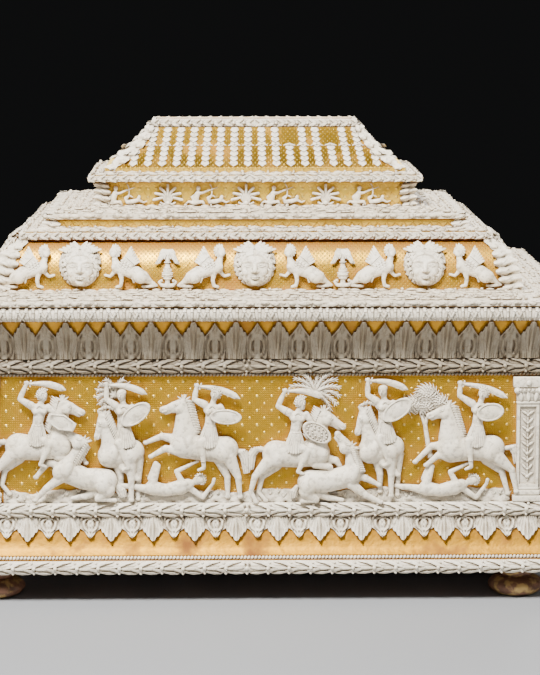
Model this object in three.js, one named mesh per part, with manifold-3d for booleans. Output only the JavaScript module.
// Reliquary casket: a gilded wooden box with a loose stepped lid, covered in moulded white-paste ornament.
// Millimetres, +Z up, front towards -Y, origin under the middle of the feet on the floor.
import * as THREE from "three";
import { mergeVertices } from "three/addons/utils/BufferGeometryUtils.js";
import Module from "manifold-3d";

const wasm = await Module();
wasm.setup();

// ---------------------------------------------------------------- driving dimensions
const WIDTH = 357; // over the moulding at the seam, left to right
const DEPTH = 264; // over the same moulding, front to back
const HALF_W = WIDTH / 2;
const HALF_D = DEPTH / 2;
const GAP = 0.3; // air between touching pieces
const SEAM_Z = 169; // top of the box, where the lid sits
const BASE_Z = 17; // underside of the box
const TOP_Z = 266.4; // top of the lid moulding
const FOOT_RADIUS = 16.5;
const FOOT_INSET = 30; // foot centre from the outermost moulding
const PANEL_INSET = 21; // gilded panel behind the outermost moulding
const PANEL_BOTTOM_Z = 55.7;
const PANEL_TOP_Z = 127.8;
const PILASTER_INSET = 17.2; // face of the corner pilasters
const WALL = 8; // board behind the gilded panel
const FLOOR_Z = 26; // top of the bottom board
const LID_SKIN = 7;
const OVOLO_FOOT_INSET = 32;
const OVOLO_FOOT_Z = 175.5;
const OVOLO_RISE = 25;
const OVOLO_RUN = 14.5;
const FRIEZE_INSET = 88; // upright gilded frieze of the lid
const FRIEZE_BOTTOM_Z = 216.6;
const LEAF_PITCH = 11.8; // one leaf tip to the next
const RELIEF_SIDES = 6; // facets round a body or neck
const LEG_SIDES = 3; // facets round a leg or arm, with one ridge outwards
const FIGURE_TOLERANCE = 0.55; // detail smaller than this is left out of a figure

// ---------------------------------------------------------------- solids
/** A closed manifold solid made from a three.js geometry. */
function solid(geometry) {
  const bare = geometry.clone();
  bare.deleteAttribute("normal");
  bare.deleteAttribute("uv");
  const merged = mergeVertices(bare, 1e-4);
  const kept = [];
  const index = merged.index.array;
  for (let i = 0; i < index.length; i += 3) {
    const [a, b, c] = [index[i], index[i + 1], index[i + 2]];
    if (a !== b && b !== c && a !== c) kept.push(a, b, c);
  }
  const mesh = new wasm.Mesh({
    numProp: 3,
    vertProperties: new Float32Array(merged.attributes.position.array),
    triVerts: new Uint32Array(kept),
  });
  return new wasm.Manifold(mesh);
}

/** A three.js geometry holding a manifold solid. */
function geometryOf(shape) {
  const mesh = shape.getMesh();
  const geometry = new THREE.BufferGeometry();
  const positions = new Float32Array((mesh.vertProperties.length / mesh.numProp) * 3);
  for (let i = 0; i < positions.length / 3; i++) {
    positions[i * 3] = mesh.vertProperties[i * mesh.numProp];
    positions[i * 3 + 1] = mesh.vertProperties[i * mesh.numProp + 1];
    positions[i * 3 + 2] = mesh.vertProperties[i * mesh.numProp + 2];
  }
  geometry.setAttribute("position", new THREE.BufferAttribute(positions, 3));
  geometry.setIndex(new THREE.BufferAttribute(new Uint32Array(mesh.triVerts), 1));
  const flat = geometry.toNonIndexed();
  flat.computeVertexNormals();
  return flat;
}

/** One solid out of several overlapping ones. */
function joined(shapes) {
  return shapes.reduce((whole, shape) => whole.add(shape));
}

/** A box solid given by its lowest and highest corner. */
function boxBetween(low, high) {
  const size = high.map((value, axis) => value - low[axis]);
  const geometry = new THREE.BoxGeometry(size[0], size[1], size[2]);
  const middle = high.map((value, axis) => (value + low[axis]) / 2);
  geometry.translate(middle[0], middle[1], middle[2]);
  return solid(geometry);
}

/**
 * A mitred rectangular moulding. The profile lists [inset, z] pairs, counted inwards from the outermost
 * moulding. It is turned on a lathe of four sides and each corner is then moved out to its place.
 */
function mitred(profile) {
  const root2 = Math.SQRT2;
  const points = profile.map(([inset, z]) => new THREE.Vector2((HALF_D - inset) * root2, z));
  const geometry = new THREE.LatheGeometry(points, 4, Math.PI / 4);
  geometry.rotateX(Math.PI / 2);
  const position = geometry.attributes.position;
  const perTurn = points.length;
  for (let i = 0; i < position.count; i++) {
    const corner = Math.floor(i / perTurn) % 4;
    const side = corner === 0 || corner === 1 ? 1 : -1;
    position.setX(i, position.getX(i) + side * (HALF_W - HALF_D));
  }
  const made = solid(geometry);
  return made.volume() > 0 ? made : solid(flipped(geometry));
}

/** The same geometry with every face turned round. */
function flipped(geometry) {
  const index = geometry.index.array;
  for (let i = 0; i < index.length; i += 3) {
    [index[i + 1], index[i + 2]] = [index[i + 2], index[i + 1]];
  }
  return geometry;
}

/** The outer half of a round moulding as [inset, z] pairs: middle height, half height, flat back and reach. */
function roundSection(middleZ, halfHeight, backInset, reach, steps) {
  const points = [];
  for (let i = 0; i <= steps; i++) {
    const angle = -Math.PI / 2 + (Math.PI * i) / steps;
    points.push([backInset - reach * Math.cos(angle), middleZ + halfHeight * Math.sin(angle)]);
  }
  points.push(points[0]);
  return points;
}

// ---------------------------------------------------------------- woodwork
/** The cavetto under the seam: wide at the top, curving in towards the panel. */
function corniceCurve(offset, steps = 5) {
  const points = [];
  for (let i = 0; i <= steps; i++) {
    const t = i / steps;
    const inset = 19 - 15.5 * Math.pow(t, 1.6);
    points.push([inset + offset, 138.2 + 22.6 * t]);
  }
  return points;
}

/** The cavetto above the foot moulding: wide at the bottom, curving in under the panel. */
function baseCurve(offset, steps = 5) {
  const points = [];
  for (let i = 0; i <= steps; i++) {
    const t = i / steps;
    const inset = 11 + 8.5 * Math.pow(t, 0.6);
    points.push([inset + offset, 27.2 + 20.4 * t]);
  }
  return points;
}

/** The hollow box: moulded outside, plain boards inside, open at the top. */
function casketBox() {
  const inner = PANEL_INSET + WALL;
  const profile = [
    [HALF_D, BASE_Z],
    [9.2, BASE_Z],
    [9.2, 24.6],
    [11, 24.6],
    ...baseCurve(0),
    [18.6, 47.9],
    [18.6, PANEL_BOTTOM_Z],
    [PANEL_INSET, PANEL_BOTTOM_Z],
    [PANEL_INSET, PANEL_TOP_Z],
    [19.6, PANEL_TOP_Z],
    [19.6, 137.9],
    ...corniceCurve(0),
    [3, 161.2],
    [3, SEAM_Z],
    [inner, SEAM_Z],
    [inner, FLOOR_Z],
    [HALF_D, FLOOR_Z],
  ];
  return mitred(profile);
}

/** The convex band at the foot of the lid. */
function ovoloCurve(offset) {
  const points = [];
  for (let i = 0; i <= 7; i++) {
    const angle = (Math.PI / 2) * (i / 7);
    const inset = OVOLO_FOOT_INSET + OVOLO_RUN * (1 - Math.cos(angle));
    points.push([inset + offset, OVOLO_FOOT_Z + OVOLO_RISE * Math.sin(angle)]);
  }
  return points;
}

/** The hollow-curved slope under the ridge of the lid. */
function slopeCurve() {
  const points = [];
  for (let i = 0; i <= 5; i++) {
    const t = i / 5;
    points.push([93.5 + 24.2 * Math.pow(t, 0.82), 239.4 + 21.9 * t]);
  }
  return points;
}

/** The stepped lid, hollow underneath. */
function lid() {
  const bottom = SEAM_Z + GAP;
  const profile = [
    [HALF_D, 254],
    [124, 254],
    [104, 236],
    [98, 230],
    [98, 209],
    [66, 208],
    [66, 199],
    [52, 198],
    [OVOLO_FOOT_INSET + LID_SKIN + 3, 188],
    [OVOLO_FOOT_INSET + LID_SKIN + 3, bottom],
    [1.6, bottom],
    [1.6, 171.4],
    [31.4, 174.2],
    ...ovoloCurve(0),
    [48.4, 201.2],
    [46, 202.2],
    [46, 206.2],
    [59.4, 207],
    [59.4, 211.6],
    [58.4, 212.2],
    [58.4, 214.6],
    [FRIEZE_INSET, FRIEZE_BOTTOM_Z],
    [FRIEZE_INSET, 231],
    [83, 231.8],
    [83, 235.4],
    [90.8, 236],
    [90.8, 239.2],
    ...slopeCurve(),
    [119.6, 261.5],
    [119.6, TOP_Z - 1.4],
    [HALF_D, TOP_Z - 1.4],
  ];
  return mitred(profile);
}

/** A turned bun foot. */
function foot(sideX, sideY) {
  const top = BASE_Z - GAP;
  const profile = [
    [0, 0],
    [9.5, 0],
    [13.5, 1.8],
    [FOOT_RADIUS, 6],
    [FOOT_RADIUS, 9.6],
    [14.2, 13.4],
    [12.2, 14.4],
    [12.2, top],
    [0, top],
  ];
  const points = profile.map(([radius, z]) => new THREE.Vector2(radius, z));
  const geometry = new THREE.LatheGeometry(points, 14);
  geometry.rotateX(Math.PI / 2);
  geometry.translate(sideX * (HALF_W - FOOT_INSET), sideY * (HALF_D - FOOT_INSET), 0);
  const made = solid(geometry);
  return made.volume() > 0 ? made : solid(flipped(geometry));
}

// ---------------------------------------------------------------- mouldings
/** A half-round band of laurel leaves, here its plain round section. */
function laurelBand(middleZ, halfHeight, backInset, reach) {
  return mitred(roundSection(middleZ, halfHeight, backInset - GAP, reach, 6));
}

/** The row of upright leaves on the cornice cavetto, notched between the tips. */
function corniceLeaves() {
  const outer = corniceCurve(-GAP - 2.1, 2);
  const inner = corniceCurve(-GAP - 0.8, 2).reverse();
  const band = mitred([...outer, ...inner, outer[0]]);
  return band.subtract(notches(160.9, 151.5, 4));
}

/** The row of hanging leaves on the base cavetto, notched between the tips. */
function hangingLeaves() {
  const outer = baseCurve(-GAP - 1.9, 5).slice(2).filter((_, i) => i % 3 === 0);
  const inner = baseCurve(-GAP - 0.5, 5).slice(2).filter((_, i) => i % 3 === 0).reverse();
  const band = mitred([...outer, ...inner, outer[0]]);
  return band.subtract(notches(35.2, 41.6, 12));
}

/** Triangular wedges cut between leaf tips along all four sides, from the open edge at tipZ to valleyZ. */
function notches(tipZ, valleyZ, insetHere) {
  const wedges = [];
  const up = Math.sign(tipZ - valleyZ);
  const addRow = (half, reach, alongX) => {
    const count = Math.round((2 * half) / LEAF_PITCH);
    const pitch = (2 * half) / count;
    const shape = new THREE.Shape();
    shape.moveTo(-pitch * 0.46, tipZ + up * 0.8);
    shape.lineTo(0, valleyZ);
    shape.lineTo(pitch * 0.46, tipZ + up * 0.8);
    const length = 26;
    for (let i = 1; i < count; i++) {
      for (const side of [-1, 1]) {
        const geometry = new THREE.ExtrudeGeometry(shape, { depth: length, bevelEnabled: false });
        geometry.rotateX(Math.PI / 2);
        geometry.translate(-half + i * pitch, side * (reach - 9) + length / 2, 0);
        if (!alongX) geometry.rotateZ(Math.PI / 2);
        wedges.push(solid(geometry));
      }
    }
  };
  addRow(HALF_W - insetHere, HALF_D, true);
  addRow(HALF_D - insetHere, HALF_W, false);
  return joined(wedges.map((wedge) => (wedge.volume() > 0 ? wedge : wedge)));
}

/** A flat garland strip lying on a ledge, as a shallow rounded section between two insets. */
function ledgeGarland(frontInset, frontZ, backInset, backZ, thickness) {
  const profile = [
    [backInset, backZ + GAP],
    [frontInset + 0.8, frontZ + GAP],
    [frontInset - 0.4, frontZ + thickness * 0.35],
    [frontInset + 1.6, frontZ + thickness],
    [backInset - 2, backZ + thickness + 0.4],
    [backInset, backZ + thickness * 0.5],
    [backInset, backZ + GAP],
  ];
  return mitred(profile.reverse());
}

// ---------------------------------------------------------------- corner pilasters
/**
 * A corner pilaster seen on one face: stepped base, recessed shaft and flaring capital.
 * Built at the right end of the front, then turned to its face and end.
 */
function pilaster(face, end) {
  const along = face % 2 === 0 ? HALF_W : HALF_D;
  const across = face % 2 === 0 ? HALF_D : HALF_W;
  const edge = along - PILASTER_INSET - 0.2;
  const back = -(across - PANEL_INSET + GAP);
  const layer = (width, depth, low, high) =>
    boxBetween([edge - width, back - depth, low], [edge, back, high]);
  const depth = PANEL_INSET - PILASTER_INSET - GAP;
  const shaft = layer(12.4, depth, PANEL_BOTTOM_Z + GAP, PANEL_TOP_Z - GAP);
  const recess = boxBetween(
    [edge - 10, back - depth - 1, 70],
    [edge - 2.4, back - depth + 0.9, 108],
  );
  const pieces = [
    shaft.subtract(recess),
    layer(16.6, depth + 0.9, PANEL_BOTTOM_Z + GAP, 59.6),
    layer(14.6, depth + 0.5, 59.4, 62.6),
    layer(13.4, depth + 0.5, 111.8, 113.6),
    layer(14.4, depth + 0.6, 118, 121.6),
    layer(17, depth + 1, 121.4, PANEL_TOP_Z - GAP),
  ];
  let shape = joined(pieces);
  const mitre = new THREE.Shape();
  const reach = 40;
  const corner = [edge + 0.2, -(across - PILASTER_INSET)];
  mitre.moveTo(corner[0] + 6 - 0.1, corner[1] - 6);
  mitre.lineTo(corner[0] - reach - 0.1, corner[1] + reach);
  mitre.lineTo(corner[0] - reach, corner[1] - reach);
  mitre.lineTo(corner[0] + 6, corner[1] - reach);
  const wedge = new THREE.ExtrudeGeometry(mitre, { depth: 100, bevelEnabled: false });
  wedge.translate(0, 0, 40);
  shape = shape.intersect(solid(wedge));
  const geometry = geometryOf(shape);
  if (end < 0) geometry.scale(-1, 1, 1);
  geometry.rotateZ((face * Math.PI) / 2);
  return end < 0 ? solid(indexFlipped(geometry)) : solid(geometry);
}

/** A non-indexed geometry with every face turned round, after mirroring. */
function indexFlipped(geometry) {
  const merged = mergeVertices(geometry, 1e-4);
  return flipped(merged);
}

// ---------------------------------------------------------------- relief figures
// Every figure is laid out as [across, up, out] in millimetres from its own foot point on the backing.

/** A tapered limb between two points. */
function limb(from, to, startRadius, endRadius, sides = RELIEF_SIDES) {
  const start = new THREE.Vector3(...from);
  const finish = new THREE.Vector3(...to);
  const run = new THREE.Vector3().subVectors(finish, start);
  const geometry = new THREE.CylinderGeometry(endRadius, startRadius, run.length(), sides, 1);
  if (sides > 4) geometry.rotateY(Math.PI / sides);
  const turn = new THREE.Quaternion().setFromUnitVectors(
    new THREE.Vector3(0, 1, 0),
    run.clone().normalize(),
  );
  geometry.applyQuaternion(turn);
  geometry.translate((from[0] + to[0]) / 2, (from[1] + to[1]) / 2, (from[2] + to[2]) / 2);
  return solid(geometry);
}

/**
 * A limb swept through the listed points, each [across, up, out, radius]. It is a cylinder with one ring
 * of corners per point, and each ring is moved to its point and set square to the bend.
 */
function chain(points, sides = RELIEF_SIDES, squash = 1, grow = 0) {
  const geometry = new THREE.CylinderGeometry(1, 1, 1, sides, points.length - 1);
  const position = geometry.attributes.position;
  const last = points.length - 1;
  for (let i = 0; i < position.count; i++) {
    const ring = Math.round((position.getY(i) + 0.5) * last);
    const [u, v, w, bare] = points[ring];
    const radius = bare + grow;
    const [before, after] = [points[Math.max(ring - 1, 0)], points[Math.min(ring + 1, last)]];
    const length = Math.hypot(after[0] - before[0], after[1] - before[1]) || 1;
    const normal = [-(after[1] - before[1]) / length, (after[0] - before[0]) / length];
    const [side, out] = [position.getX(i) * radius, position.getZ(i) * radius * squash];
    position.setXYZ(i, u - normal[0] * side, v - normal[1] * side, w + out);
  }
  const made = solid(geometry);
  return made.volume() > 0 ? made : solid(flipped(geometry));
}

/** An ellipsoid lump, turned by a tilt in degrees within the picture plane. */
function lump(centre, radii, tiltDeg = 0, sides = 6) {
  const geometry = new THREE.SphereGeometry(1, sides, sides / 2);
  geometry.rotateX(Math.PI / 2);
  geometry.scale(radii[0], radii[1], radii[2]);
  geometry.rotateZ(THREE.MathUtils.degToRad(tiltDeg));
  geometry.translate(...centre);
  return solid(geometry);
}

/** A flat plate from an outline, starting at height out and so thick. */
function plate(outline, out, thickness) {
  const shape = new THREE.Shape(outline.map(([u, v]) => new THREE.Vector2(u, v)));
  const geometry = new THREE.ExtrudeGeometry(shape, { depth: thickness, bevelEnabled: false });
  geometry.translate(0, 0, out);
  return solid(geometry);
}

/** The points of an ellipse in the picture plane. */
function ellipse(centre, radii, tiltDeg, count) {
  const tilt = THREE.MathUtils.degToRad(tiltDeg);
  return Array.from({ length: count }, (_, i) => {
    const angle = (2 * Math.PI * i) / count;
    const [a, b] = [radii[0] * Math.cos(angle), radii[1] * Math.sin(angle)];
    return [
      centre[0] + a * Math.cos(tilt) - b * Math.sin(tilt),
      centre[1] + a * Math.sin(tilt) + b * Math.cos(tilt),
    ];
  });
}

/** A curved sword blade from hilt to tip. */
function sword(hilt, tip, bow) {
  const [dx, dy] = [tip[0] - hilt[0], tip[1] - hilt[1]];
  const length = Math.hypot(dx, dy);
  const [nx, ny] = [-dy / length, dx / length];
  const at = (t, side) => [
    hilt[0] + dx * t + nx * (bow * Math.sin(Math.PI * t) + side),
    hilt[1] + dy * t + ny * (bow * Math.sin(Math.PI * t) + side),
  ];
  const outline = [at(0, -0.6), at(0.7, -1.5), at(1, 0), at(0.6, 1), at(0, 0.6)];
  return plate(outline, 1.4, 1.2);
}

/** A point carried on past another by a distance, for rounding off the end of a chain. */
function beyond(from, to, distance) {
  const length = Math.hypot(to[0] - from[0], to[1] - from[1]);
  return [0, 1].map((axis) => to[axis] + ((to[axis] - from[axis]) / length) * distance);
}

/** A horse in relief from named joints. */
function horse(pose) {
  const rump = beyond(pose.barrel, pose.croup, pose.croupR * 0.8);
  const breast = beyond(pose.barrel, pose.chest, pose.chestR * 0.8);
  const cheek = [0, 1].map((axis) => pose.poll[axis] * 0.72 + pose.muzzle[axis] * 0.28);
  const pieces = [
    chain([
      [...rump, 1, pose.croupR * 0.5],
      [...pose.croup, 1, pose.croupR],
      [...pose.barrel, 1, pose.barrelR],
      [...pose.chest, 1, pose.chestR],
      [...breast, 1, pose.chestR * 0.55],
    ], 8, 0.72),
    chain([
      [...pose.withers, 1.4, pose.neckR],
      [...pose.poll, 2, pose.neckR * 0.5],
    ], RELIEF_SIDES, 0.8),
    chain([
      [...pose.poll, 2, 2.4],
      [...cheek, 2, 3],
      [...pose.muzzle, 2, 1.6],
    ], RELIEF_SIDES, 0.9),
  ];
  const radii = [3.4, 1.8, 1.3, 1.7];
  for (const leg of pose.legs) {
    pieces.push(chain(leg.map(([u, v], i) => [u, v, 1, radii[i]]), LEG_SIDES, 1.3));
  }
  if (pose.tail) pieces.push(chain(pose.tail.map(([u, v], i) => [u, v, 0.8, [1, 1.9, 0.7][i]]), LEG_SIDES));
  return joined(pieces);
}

/** A mounted fighter in a short tunic, sword raised, shield on the far arm. */
function fighter(pose) {
  const collar = [0, 1].map((axis) => pose.chest[axis] * 0.35 + pose.head[axis] * 0.65);
  const pieces = [
    chain([
      [...pose.hip, 2.6, 5.6],
      [...pose.waist, 3, 3.3],
      [...pose.chest, 3.4, 4.6],
      [...collar, 3.6, 1.5],
    ], RELIEF_SIDES, 0.8),
    lump([...pose.head, 4], [3, 3.6, 2.8]),
    chain([
      [...pose.chest, 3, 3],
      [...pose.shoulder, 3, 2.1],
      [...pose.elbow, 2.6, 1.6],
      [...pose.hand, 2.2, 1.2],
    ], LEG_SIDES, 1.2),
    chain([
      [...pose.hip, 3.4, 3],
      [...pose.knee, 4, 2.4],
      [...pose.foot, 3.6, 1.2],
    ], LEG_SIDES, 1.2),
    plate(pose.shield, 3.4, 2.4),
    sword(pose.hand, pose.swordTip, pose.swordBow),
  ];
  return joined(pieces);
}

/** Every point of a pose moved by the same step. */
function shifted(pose, du, dv) {
  const move = (value) => {
    if (Array.isArray(value) && typeof value[0] === "number") return [value[0] + du, value[1] + dv];
    if (Array.isArray(value)) return value.map(move);
    return value;
  };
  return Object.fromEntries(Object.entries(pose).map(([key, value]) => [key, move(value)]));
}

const CHARGING_HORSE = {
  chest: [10.4, 28.6],
  chestR: 6.8,
  barrel: [-3.6, 26.6],
  barrelR: 5.8,
  croup: [-15, 27.4],
  croupR: 6.8,
  withers: [10.5, 33],
  neckR: 6.4,
  poll: [13.2, 50.6],
  muzzle: [23.8, 43.2],
  tilt: 6,
  tail: [[-20, 30], [-24.4, 31], [-27.6, 19]],
  legs: [
    [[-17, 24], [-25.2, 15.6], [-27.6, 6.8], [-25, 1]],
    [[-14, 21], [-21.6, 14.6], [-23.2, 5.8], [-19.6, 1.4]],
    [[14, 25], [20.5, 24], [23.6, 19]],
    [[9, 22], [16.8, 20.4], [19.4, 15]],
  ],
};

const CHARGING_FIGHTER = {
  hip: [-3, 31.4],
  waist: [-2.6, 42],
  chest: [-1.2, 50],
  head: [0.4, 58],
  shoulder: [-6.4, 53.6],
  elbow: [-12.6, 56],
  hand: [-7.4, 64.8],
  swordTip: [13.4, 61],
  swordBow: -1.5,
  knee: [3, 30],
  foot: [-1.4, 17.8],
  shield: ellipse([9, 40.6], [8.8, 5.2], -30, 10),
};

const HALTED_HORSE = {
  chest: [-7.6, 28.4],
  chestR: 7,
  barrel: [0, 29.4],
  barrelR: 5.6,
  croup: [6.4, 30],
  croupR: 6.2,
  withers: [-7, 34],
  neckR: 5.8,
  poll: [-11.4, 51.6],
  muzzle: [-14.4, 38.8],
  tilt: 0,
  legs: [
    [[-3, 23], [-1, 15], [-1, 7]],
    [[6.4, 25], [6.8, 15], [6.6, 5]],
    [[9.6, 25], [10.6, 15], [10.4, 6]],
    [[0.6, 21], [5, 18.6], [7.8, 15.4]],
  ],
};

const HALTED_FIGHTER = {
  hip: [1.2, 36],
  waist: [1.2, 47],
  chest: [1.2, 56],
  head: [-0.6, 64],
  shoulder: [-4.2, 59.4],
  elbow: [-9.2, 61],
  hand: [-8.8, 69.2],
  swordTip: [14, 64],
  swordBow: 1.6,
  knee: [-2.2, 36.2],
  foot: [3.4, 21.2],
  shield: ellipse([7.4, 53], [9.6, 5], 36, 10),
};

const REARING_HORSE = {
  chest: [-13, 34.6],
  chestR: 7.8,
  barrel: [-1, 30.8],
  barrelR: 6,
  croup: [11, 30.2],
  croupR: 6.6,
  withers: [-12.6, 40],
  neckR: 7,
  poll: [-11, 58.4],
  muzzle: [-23.6, 54.2],
  tilt: -12,
  tail: [[16.4, 28.6], [21, 28.6], [23.2, 17]],
  legs: [
    [[-18, 36], [-24.4, 37.8], [-33.4, 35.2]],
    [[-15, 30], [-23.4, 31.6], [-30, 27.4]],
    [[8, 26], [12.4, 14.6], [12.4, 4]],
    [[13, 26], [18.4, 14.8], [19.4, 5]],
  ],
};

const REARING_FIGHTER = {
  hip: [1.6, 35],
  waist: [3, 45.8],
  chest: [4.4, 54],
  head: [5.6, 63.4],
  shoulder: [-0.4, 57.4],
  elbow: [-6.2, 60.4],
  hand: [-4.6, 68],
  swordTip: [20, 59.4],
  swordBow: 1.4,
  knee: [-3.4, 36],
  foot: [-1.2, 20.6],
  shield: ellipse([11.6, 50], [9, 3.8], -4, 10),
};

/** A horse lying down with its head thrown up and back, facing left. */
function fallenHorse(grow = 0) {
  return joined([
    chain([
      [20.6, 11.4, 2.2, 3],
      [15.4, 12.4, 2.2, 5.9],
      [3, 14.4, 2.2, 5.2],
      [-9, 19, 2.2, 5.4],
      [-13.6, 21, 2.2, 2.6],
    ], 8, 0.8, grow),
    chain([
      [-8, 20, 3, 5.4],
      [1, 32, 3.2, 3.2],
    ], RELIEF_SIDES, 0.8, grow),
    chain([
      [3, 34.4, 3.2, 2.6],
      [0.4, 36, 3.2, 3.1],
      [-7.4, 41, 3, 1.6],
    ], RELIEF_SIDES, 0.9, grow),
    chain([
      [-11, 21.6, 3, 2.4],
      [-17.2, 22.8, 3, 1.6],
      [-24, 15, 2.6, 1.5],
    ], LEG_SIDES, 1.2, grow),
    chain([
      [-9.6, 15, 3, 2.6],
      [-18.8, 8.8, 3, 1.7],
      [-24.4, 2.2, 2.6, 1.6],
    ], LEG_SIDES, 1.2, grow),
    chain([
      [14, 7, 3, 3.6],
      [4, 3.8, 3, 1.8],
      [-3, 2.6, 2.6, 1.5],
    ], LEG_SIDES, 1.2, grow),
  ]);
}

/** A man thrown on his back, head to the right, one knee and one arm raised. */
function fallenMan(grow = 0) {
  return joined([
    chain([
      [-12, 9, 2.6, 4],
      [-3, 7.6, 2.8, 3.4],
      [6, 9, 3, 4.4],
    ], RELIEF_SIDES, 1, grow),
    lump([13.8, 12.8, 3.4], [3.1 + grow, 2.9 + grow, 2.8 + grow]),
    limb([6, 9, 3], [12.6, 12, 3.2], 3.6 + grow, 1.6 + grow, 5),
    chain([
      [-12, 10.4, 3, 2.8],
      [-8, 21.2, 3, 1.8],
      [-11.4, 25.6, 2.6, 1.2],
    ], LEG_SIDES, 1.2, grow),
    chain([
      [-11, 7, 3, 2.8],
      [-22, 9, 2.8, 1.8],
      [-29, 10.8, 2.4, 1.2],
    ], LEG_SIDES, 1.2, grow),
    chain([
      [4.6, 12.4, 3, 1.9],
      [2.4, 17.6, 3, 1.4],
      [12.6, 23, 2.6, 1.1],
    ], LEG_SIDES, 1.2, grow),
    chain([
      [10.6, 8, 3, 1.9],
      [17.6, 2.8, 3, 1.4],
      [23.4, 11.6, 2.6, 1.1],
    ], LEG_SIDES, 1.2, grow),
  ]);
}

/** A low bank of rocky ground along the foot of the panel. */
function groundStrip(half, grow) {
  const outline = [[-half - grow, 0.3 - grow]];
  const steps = 34;
  for (let i = 0; i <= steps; i++) {
    const u = -half + (2 * half * i) / steps;
    const v = 7.6 + 1.7 * Math.sin(i * 1.9) + 1.1 * Math.sin(i * 3.7 + 1);
    outline.push([u + (i === 0 ? -grow : i === steps ? grow : 0), v + grow]);
  }
  outline.push([half + grow, 0.3 - grow]);
  return plate(outline.reverse(), -grow, 1.4 + 2 * grow);
}

/** A leafy tree with a forked trunk. */
function tree() {
  const crown = joined([
    lump([0, 61, 0], [7, 6.4, 2.6]),
    lump([-7.4, 56.4, 0], [5.4, 4.6, 2.2]),
    lump([6.8, 57, 0], [6, 4.6, 2.2]),
  ]);
  const trunk = chain([
    [1.6, 30, 0, 1.8],
    [-0.6, 44, 0, 1.5],
    [-3.4, 53, 0, 1],
  ]);
  const fork = limb([-0.6, 44, 0], [1.4, 54, 0], 1.4, 1);
  return joined([crown, trunk, fork]);
}

/** The crown of a palm: fronds spreading from one point. */
function palmCrown(centre, frondLength, fromDeg, toDeg, count) {
  const fronds = [];
  for (let i = 0; i < count; i++) {
    const angle = THREE.MathUtils.degToRad(fromDeg + ((toDeg - fromDeg) * i) / (count - 1));
    const [c, s] = [Math.cos(angle), Math.sin(angle)];
    const at = (along, side) => [
      centre[0] + c * along - s * side,
      centre[1] + s * along + c * side,
    ];
    const wide = 1.3;
    const outline = [at(-1, -0.7), at(frondLength * 0.6, -wide), at(frondLength, 0)];
    outline.push(at(frondLength * 0.6, wide), at(-1, 0.7));
    fronds.push(plate(outline, -0.2, 1.5));
  }
  fronds.push(lump([...centre, 0], [2.6, 2.6, 1.9]));
  return joined(fronds);
}

/** A full-face mask with a wreath of hair. */
function mask() {
  const hair = Array.from({ length: 18 }, (_, i) => {
    const angle = (2 * Math.PI * i) / 18;
    const reach = i % 2 === 0 ? 1 : 0.84;
    return [10.6 * reach * Math.cos(angle), 12.4 + 11.6 * reach * Math.sin(angle)];
  });
  return joined([
    plate(hair, -3, 6.4),
    lump([0, 11.4, 1.6], [7, 9.4, 6.4], 0, 8),
    limb([0, 14.6, 6.6], [0, 9.8, 7.6], 0.7, 1.4, 5),
    lump([0, 7, 6.4], [2.2, 0.9, 1.2]),
  ]);
}

/** A seated winged creature facing right. */
function sphinx() {
  const wing = [[-2.4, 10], [-4, 15.6], [-8.4, 20.6], [-12, 20.2], [-10.4, 14], [-6.4, 9.4]];
  return joined([
    lump([-4.6, 7.6, 1.2], [7.4, 3.6, 3.4], 24),
    lump([1.6, 11.4, 1.4], [3.4, 4, 3.4]),
    limb([2.4, 12, 2.4], [4, 18, 2.8], 2.4, 1.5),
    lump([4.8, 20, 2.8], [2.4, 2.7, 2.4]),
    chain([
      [2.6, 9, 2, 1.6],
      [6.8, 6.4, 2, 1],
      [7.8, 1, 1.6, 1.2],
    ], LEG_SIDES, 1.2),
    chain([
      [-6, 5.4, 2, 2.2],
      [-2.4, 1.2, 1.8, 1.3],
    ], LEG_SIDES, 1.2),
    chain([
      [-10.4, 5.6, 1, 1],
      [-13.4, 9, 1, 0.8],
      [-11.6, 12.6, 1, 0.6],
    ], LEG_SIDES, 1.2),
    plate(wing, 0.4, 1.8),
  ]);
}

/** A footed vase with flowers. */
function vase() {
  return joined([
    chain([
      [0, 0.6, 1, 3.2],
      [0, 3.4, 1, 1.2],
      [0, 6.2, 1.2, 3.4],
      [0, 10, 1.2, 2.8],
      [0, 12.2, 1, 4],
    ]),
    lump([0, 15.4, 1.4], [3.8, 4, 2.4]),
    lump([-4, 16.6, 1.2], [3, 2.4, 2]),
    lump([4, 16.6, 1.2], [3, 2.4, 2]),
  ]);
}

/** A reclining archer for the upper frieze, facing left. */
function archer() {
  return joined([
    lump([0.6, 6.4, 0.8], [3.6, 2.6, 2.2], 38),
    lump([3.4, 10.4, 1], [1.7, 1.9, 1.7]),
    chain([
      [-0.6, 4.6, 1, 1.8],
      [-7, 3, 1, 1.1],
      [-12, 1.8, 0.8, 0.9],
    ], LEG_SIDES, 1.2),
    chain([
      [2.6, 7.6, 1, 1.1],
      [-3, 10.4, 1, 0.8],
      [-6.4, 11.8, 0.8, 0.7],
    ], LEG_SIDES, 1.2),
    chain([
      [2, 4, 1, 1.6],
      [9, 2.2, 0.9, 1.2],
      [13, 6, 0.7, 0.7],
    ], LEG_SIDES, 1.2),
  ]);
}

/** A fan-shaped palmette. */
function palmette() {
  const leaves = [];
  for (let i = 0; i < 5; i++) {
    const angle = THREE.MathUtils.degToRad(30 + 30 * i);
    const length = 8.4 + 2.2 * Math.sin(angle);
    const tip = [length * Math.cos(angle), 1.4 + length * Math.sin(angle), 0.6];
    leaves.push(limb([0, 1.4, 0.6], tip, 0.8, 1.4, 5));
  }
  leaves.push(lump([0, 2, 0.6], [2.6, 1.8, 1.6]));
  return joined(leaves);
}

// ---------------------------------------------------------------- placing the figures
/** Cuts a figure off at its backing, leaving only what stands out from it. */
function cutBack(shape) {
  return shape.intersect(boxBetween([-400, -60, 0], [400, 120, 40]));
}

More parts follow.
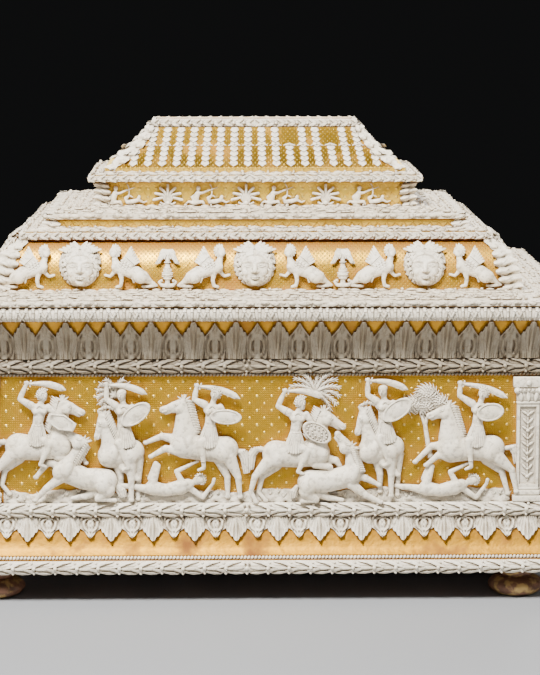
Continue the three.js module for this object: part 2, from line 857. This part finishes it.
/** A figure as a three.js geometry, stood on a backing plane: across, lowest height and inset of the plane. */
function standing(shape, across, low, inset, leanDeg = 0) {
  const geometry = geometryOf(shape);
  geometry.rotateX(Math.PI / 2);
  geometry.rotateX(THREE.MathUtils.degToRad(-leanDeg));
  geometry.translate(across, -(HALF_D - inset) - GAP, low);
  return solid(geometry);
}

/** A figure mirrored left to right. */
function mirrored(shape) {
  const geometry = geometryOf(shape);
  geometry.scale(-1, 1, 1);
  return solid(indexFlipped(geometry));
}

/** A shape moved across and up on its backing. */
function moved(shape, across, up) {
  const geometry = geometryOf(shape);
  geometry.translate(across, up, 0);
  return solid(geometry);
}

// ---------------------------------------------------------------- assembly
const materials = {
  gilt: () => new THREE.MeshStandardMaterial({ color: 0xc79a45, roughness: 0.42, metalness: 0.85 }),
  paste: () => new THREE.MeshStandardMaterial({ color: 0xe3ddd0, roughness: 0.7, metalness: 0 }),
  wood: () => new THREE.MeshStandardMaterial({ color: 0x6f4c2e, roughness: 0.7, metalness: 0 }),
};

const casket = new THREE.Group();
casket.name = "reliquary_casket";

/** Adds one named piece to the casket. */
function place(name, shape, finish) {
  const mesh = new THREE.Mesh(geometryOf(shape), materials[finish]());
  mesh.name = name;
  casket.add(mesh);
}

place("casket_box", casketBox(), "gilt");
place("lid", lid(), "gilt");
for (const [name, x, y] of [["front_left", -1, -1], ["front_right", 1, -1], ["back_left", -1, 1], ["back_right", 1, 1]]) {
  place(`foot_${name}`, foot(x, y), "wood");
}

place("seam_gadroon_moulding", laurelBand(165.1, 3.7, 3, 3), "paste");
place("cornice_leaf_row", corniceLeaves(), "paste");
place("upper_laurel_moulding", laurelBand(133.9, 3.8, 19.6, 3.1), "paste");
place("lower_laurel_moulding", laurelBand(51.9, 3.8, 18.6, 3.2), "paste");
place("hanging_leaf_row", hangingLeaves(), "paste");
place("base_laurel_moulding", laurelBand(20.8, 3.6, 9.2, 3.6), "paste");
place("lid_rim_garland", ledgeGarland(1.6, 171.4, 31, 174.1, 1.8), "paste");
place("lid_cove_leaf_strip", laurelBand(204.2, 1.9, 46, 2), "paste");
place("lid_ledge_garland", ledgeGarland(58.4, 214.6, 87.6, 216.5, 1.6), "paste");
place("lid_frieze_leaf_strip", laurelBand(233.6, 1.7, 83, 1.8), "paste");
place("lid_crown_moulding", laurelBand(264, 2.4, 119.6, 2.2), "paste");

const FACES = ["front", "right", "back", "left"];
FACES.forEach((face, turn) => {
  place(`pilaster_${face}_a`, pilaster(turn, -1), "paste");
  place(`pilaster_${face}_b`, pilaster(turn, 1), "paste");
});

// The battle on the front panel, laid out across the panel in millimetres from its middle.
const rider = (horsePose, fighterPose, across, up, changes = {}) => {
  const horseHere = cutBack(horse({ ...horsePose, ...(changes.horse ?? {}) })).simplify(FIGURE_TOLERANCE);
  const fighterHere = cutBack(fighter({ ...fighterPose, ...(changes.fighter ?? {}) })).simplify(FIGURE_TOLERANCE);
  return moved(horseHere.add(fighterHere), across, up);
};
const hexShield = [[5.6, 52.6], [16.6, 52], [23, 47], [21.8, 43.4], [16, 42.6], [5, 48.6]];
const riders = {
  rider_charging_left: rider(shifted(CHARGING_HORSE, 0, 0), CHARGING_FIGHTER, -120.6, 4.6, {
    horse: { poll: [10.6, 53.6], muzzle: [23, 48.4] },
    fighter: { shield: hexShield.map(([u, v]) => [u - 3, v - 5]) },
  }),
  rider_halted_left: rider(HALTED_HORSE, HALTED_FIGHTER, -75.5, -0.8),
  rider_rearing_left: rider(REARING_HORSE, REARING_FIGHTER, -29.1, 0),
  rider_charging_right: rider(CHARGING_HORSE, CHARGING_FIGHTER, 24, 0),
  rider_halted_right: rider(HALTED_HORSE, HALTED_FIGHTER, 71, 1.2),
  rider_rearing_right: rider(REARING_HORSE, REARING_FIGHTER, 121.3, 0, {
    horse: {
      poll: [-13, 54.4],
      muzzle: [-24.4, 50],
      withers: [-12.6, 37],
      chest: [-12.4, 31],
      legs: [
        [[-16, 32], [-22.8, 32], [-31.6, 23.4]],
        [[-14, 27], [-19.2, 27.2], [-25.4, 22]],
        [[9, 25], [17, 17.4], [20.4, 5.4]],
        [[14, 26], [22.4, 18.6], [25, 7]],
      ],
      tail: [[18.6, 30.6], [23.6, 31.4], [25.6, 23]],
    },
    fighter: { shield: ellipse([9.4, 52.4], [7.8, 5], 10, 10), elbow: [-7.6, 61.4], hand: [-7.4, 68.8] },
  }),
};
const CLEARANCE = 0.8; // how much larger the fallen figures are where they cut the riders behind them
const horseDown = (grow) => cutBack(fallenHorse(grow)).simplify(FIGURE_TOLERANCE);
const manDown = (grow) => cutBack(fallenMan(grow)).simplify(FIGURE_TOLERANCE);
const fallen = {
  fallen_horse_left: (grow) => moved(horseDown(grow), -100.1, 0.4),
  fallen_horse_right: (grow) => moved(mirrored(horseDown(grow)), 43.6, -1),
  fallen_man_left: (grow) => moved(manDown(grow), -47.5, 0),
  fallen_man_right: (grow) => moved(manDown(grow), 107, -0.8),
};
const trees = {
  tree: moved(tree(), 95.4, 0),
  palm_crown_right: palmCrown([32.6, 63.4], 15, -34, 150, 9),
  palm_crown_left: palmCrown([-80, 62], 10, 60, 215, 7),
};
// Plain blanks a little larger than the trees, cut out of the backs of the riders in front of them.
const treeBlanks = [
  plate(ellipse([95.4, 58.4], [14.4, 10], 0, 8), -1, 4.1),
  plate(ellipse([96, 42], [4.4, 14.6], 8, 6), -1, 3.4),
  plate(ellipse([34, 64], [17, 16], 0, 8), -1, 3.4),
  plate(ellipse([-81, 62.6], [11.8, 11.8], 0, 8), -1, 3.4),
];
const panelBox = boxBetween([-143.6, 0.3, 0], [143.6, 71.7, 30]).add(
  boxBetween([-147.6, 7.3, 0], [147.6, 55.6, 30]),
);
const ground = groundStrip(143, 0);
const groundGrown = groundStrip(143, GAP);
const bounds = [-148, -92, -60, -3.4, 50.6, 87, 148];
Object.entries(riders).forEach(([name, shape], i) => {
  const field = boxBetween([bounds[i] + GAP / 2, -5, -1], [bounds[i + 1] - GAP / 2, 80, 30]);
  let cut = shape.intersect(field).intersect(panelBox).subtract(groundGrown);
  for (const blank of treeBlanks) cut = cut.subtract(blank);
  for (const makeFallen of Object.values(fallen)) cut = cut.subtract(makeFallen(CLEARANCE));
  place(name, standing(largest(cut, 0.22), 0, PANEL_BOTTOM_Z, PANEL_INSET), "paste");
});
for (const [name, makeFallen] of Object.entries(fallen)) {
  const cut = largest(makeFallen(0).intersect(panelBox).subtract(groundGrown), 0.05);
  place(name, standing(cut, 0, PANEL_BOTTOM_Z, PANEL_INSET), "paste");
}
for (const [name, shape] of Object.entries(trees)) {
  const cut = largest(cutBack(shape).intersect(panelBox), 0.1);
  place(name, standing(cut, 0, PANEL_BOTTOM_Z, PANEL_INSET), "paste");
}
place("ground_strip", standing(cutBack(ground), 0, PANEL_BOTTOM_Z, PANEL_INSET), "paste");

/** The largest connected body of a shape, without detail finer than the tolerance. */
function largest(shape, tolerance = 0.2) {
  const bodies = shape.simplify(tolerance).decompose();
  return bodies.reduce((best, body) => (body.volume() > best.volume() ? body : best));
}

// Masks, winged creatures and vases on the convex band of the lid, trimmed to its curve.
const ovoloBlank = mitred([
  [HALF_D, OVOLO_FOOT_Z - 8],
  [OVOLO_FOOT_INSET - GAP, OVOLO_FOOT_Z - 8],
  ...ovoloCurve(-GAP),
  [45.7, 201.5],
  [45.7, 206],
  [HALF_D, 206],
]);
const onOvolo = (shape, across) =>
  largest(standing(shape, across, OVOLO_FOOT_Z + 0.9, OVOLO_FOOT_INSET - 0.4, 9).subtract(ovoloBlank), 0.12);
const maskShape = mask().simplify(0.4);
for (const [name, across] of [["left", -99.3], ["middle", -1.1], ["right", 94.8]]) {
  place(`mask_${name}`, onOvolo(maskShape, across), "paste");
}
const sphinxShape = sphinx().simplify(0.35);
const creatures = [-126, -73, -27.5, 25.5, 68.5, 121];
creatures.forEach((across, i) => {
  const shape = i % 2 === 0 ? sphinxShape : mirrored(sphinxShape);
  place(`sphinx_${i + 1}`, onOvolo(shape, across), "paste");
});
for (const [name, across] of [["left", -50.2], ["right", 48.5]]) {
  place(`vase_${name}`, onOvolo(vase(), across), "paste");
}

// Reclining archers and palmettes on the upright frieze of the lid.
const onFrieze = (shape, across) => standing(cutBack(shape), across, FRIEZE_BOTTOM_Z + 2.2, FRIEZE_INSET);
[-75.7, -27.6, 16.4, 66.3].forEach((across, i) => {
  place(`archer_${i + 1}`, largest(onFrieze(archer(), across)), "paste");
});
[-51, -5.4, 41].forEach((across, i) => {
  place(`palmette_${i + 1}`, largest(onFrieze(palmette(), across)), "paste");
});

export default casket;
